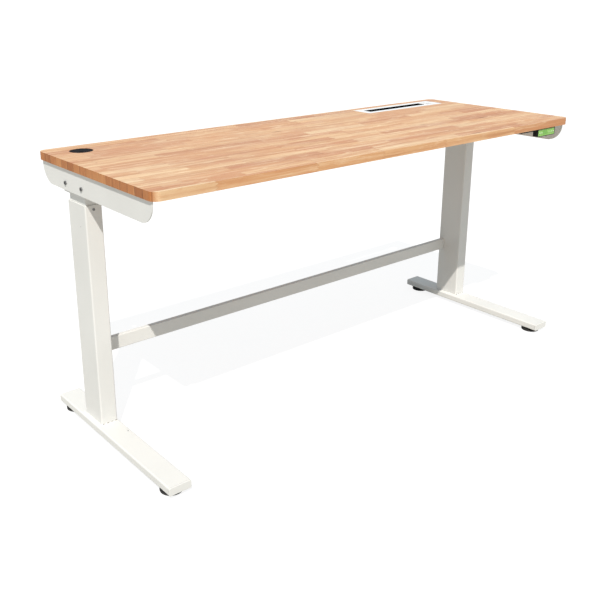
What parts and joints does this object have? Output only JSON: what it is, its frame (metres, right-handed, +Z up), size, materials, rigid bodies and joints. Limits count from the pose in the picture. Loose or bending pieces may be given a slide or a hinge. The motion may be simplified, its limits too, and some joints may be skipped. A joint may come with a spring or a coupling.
{
  "type": "height adjustable standing desk",
  "caption": "Motor-driven standing desk: solid wooden top with grommet and cable box on two white telescopic C-legs joined by a low stretcher, with handset under the front edge.",
  "frame": {"origin": "on the floor, midway between the desktop's ends and between the feet's ends", "axes": "+X right along the desk as its user sits at it, +Y to the back, +Z up; the user sits on the -Y side"},
  "size_m": [1.6, 0.61, 0.77],
  "materials": {
    "oiled_wood": "satin oil on edge-glued, finger-jointed hardwood staves",
    "white_powder_coat": "fine-textured satin white powder coat on steel",
    "white_cable_box": "smooth satin white powder coat on thin metal",
    "white_plastic": "moulded, fine matt texture",
    "black_plastic": "moulded, fine matt texture",
    "black_bristle": "nylon bristles",
    "black_rubber": "matt",
    "steel": "turned, oiled",
    "zinc_plated_screws": "zinc plated",
    "black_screws": "black oxide on steel",
    "acetal": "machined acetal",
    "die_cast_housing": "die cast, as cast",
    "motor_black": "black painted can",
    "circuit_board": "solder mask",
    "lead_black": "matt PVC",
    "handset_black": "moulded, semi gloss",
    "green_panel": "glossy tinted front panel",
    "button_plastic": "light moulded caps"
  },
  "bodies": {
    "base": {"outer_column_left": "white_powder_coat", "outer_column_right": "white_powder_coat", "mouth_glides": "white_plastic", "glide_screws": "black_screws", "nut_post_left": "steel", "nut_post_right": "steel", "drive_nut_left": "acetal", "drive_nut_right": "acetal", "foot_left": "white_powder_coat", "foot_right": "white_powder_coat", "foot_end_caps": "white_plastic", "level_inserts": "zinc_plated_screws", "stretcher": "white_powder_coat", "stretcher_fixings": "zinc_plated_screws"},
    "desk": {"desktop": "oiled_wood", "grommet_ring": "black_plastic", "cable_box_frame": "white_cable_box", "cable_box_brushes": "black_bristle", "side_bracket_left": "white_powder_coat", "side_bracket_right": "white_powder_coat", "bracket_screws": "black_screws", "desktop_screws": "zinc_plated_screws", "head_plate_left": "white_powder_coat", "head_plate_right": "white_powder_coat", "cross_rail_front": "white_powder_coat", "cross_rail_back": "white_powder_coat", "middle_brace": "white_powder_coat", "inner_column_left": "white_powder_coat", "inner_column_right": "white_powder_coat", "shoe_glides": "black_plastic", "spindle_bearings": "steel", "worm_left": "steel", "worm_right": "steel", "gearbox_left": "die_cast_housing", "gearbox_right": "die_cast_housing", "gearbox_covers": "die_cast_housing", "motor_left": "motor_black", "motor_right": "motor_black", "control_box": "black_plastic", "control_board": "circuit_board", "mains_inlet": "black_plastic", "leads": "lead_black", "handset_housing": "handset_black", "handset_panel": "green_panel", "handset_board": "circuit_board"},
    "spindle_left": {"spindle_left": "steel", "worm_wheel_left": "acetal"},
    "spindle_right": {"spindle_right": "steel", "worm_wheel_right": "acetal"},
    "grommet_cap": {"grommet_cap": "black_plastic"},
    "leveler_front_left": {"leveler_front_left": "black_rubber"},
    "leveler_front_right": {"leveler_front_right": "black_rubber"},
    "leveler_back_left": {"leveler_back_left": "black_rubber"},
    "leveler_back_right": {"leveler_back_right": "black_rubber"},
    "button_down": {"button_down": "button_plastic"},
    "button_up": {"button_up": "button_plastic"},
    "button_memory_1": {"button_memory_1": "button_plastic"},
    "button_memory_2": {"button_memory_2": "button_plastic"},
    "button_memory_3": {"button_memory_3": "button_plastic"},
    "button_set": {"button_set": "button_plastic"}
  },
  "joints": [
    {"name": "desk_lift", "type": "slide", "parent": "base", "child": "desk", "axis": [0, 0, 1], "range_m": [0, 0.48]},
    {"name": "spindle_left_turn", "type": "hinge", "parent": "desk", "child": "spindle_left", "pos_m": [-0.7625, 0.1145, 0.4], "axis": [0, 0, 1], "range_deg": [0, 21600]},
    {"name": "spindle_right_turn", "type": "hinge", "parent": "desk", "child": "spindle_right", "pos_m": [0.7625, 0.1145, 0.4], "axis": [0, 0, 1], "range_deg": [0, 21600]},
    {"name": "grommet_cap_turn", "type": "hinge", "parent": "desk", "child": "grommet_cap", "pos_m": [-0.71, 0.224, 0.768], "axis": [0, 0, 1], "continuous": true},
    {"name": "leveler_front_left_screw_out", "type": "slide", "parent": "base", "child": "leveler_front_left", "axis": [0, 0, -1], "range_m": [0, 0.01]},
    {"name": "leveler_front_right_screw_out", "type": "slide", "parent": "base", "child": "leveler_front_right", "axis": [0, 0, -1], "range_m": [0, 0.01]},
    {"name": "leveler_back_left_screw_out", "type": "slide", "parent": "base", "child": "leveler_back_left", "axis": [0, 0, -1], "range_m": [0, 0.01]},
    {"name": "leveler_back_right_screw_out", "type": "slide", "parent": "base", "child": "leveler_back_right", "axis": [0, 0, -1], "range_m": [0, 0.01]},
    {"name": "button_down_press", "type": "slide", "parent": "desk", "child": "button_down", "axis": [0, 1, 0], "range_m": [0, 0.0008], "stiffness_N_per_m": 400, "springref_m": -0.0005},
    {"name": "button_up_press", "type": "slide", "parent": "desk", "child": "button_up", "axis": [0, 1, 0], "range_m": [0, 0.0008], "stiffness_N_per_m": 400, "springref_m": -0.0005},
    {"name": "button_memory_1_press", "type": "slide", "parent": "desk", "child": "button_memory_1", "axis": [0, 1, 0], "range_m": [0, 0.0008], "stiffness_N_per_m": 400, "springref_m": -0.0005},
    {"name": "button_memory_2_press", "type": "slide", "parent": "desk", "child": "button_memory_2", "axis": [0, 1, 0], "range_m": [0, 0.0008], "stiffness_N_per_m": 400, "springref_m": -0.0005},
    {"name": "button_memory_3_press", "type": "slide", "parent": "desk", "child": "button_memory_3", "axis": [0, 1, 0], "range_m": [0, 0.0008], "stiffness_N_per_m": 400, "springref_m": -0.0005},
    {"name": "button_set_press", "type": "slide", "parent": "desk", "child": "button_set", "axis": [0, 1, 0], "range_m": [0, 0.0008], "stiffness_N_per_m": 400, "springref_m": -0.0005}
  ],
  "couplings": [
    {"joint": "spindle_left_turn", "follows": "desk_lift", "rad_per_m": 785.4},
    {"joint": "spindle_right_turn", "follows": "desk_lift", "rad_per_m": 785.4}
  ]
}
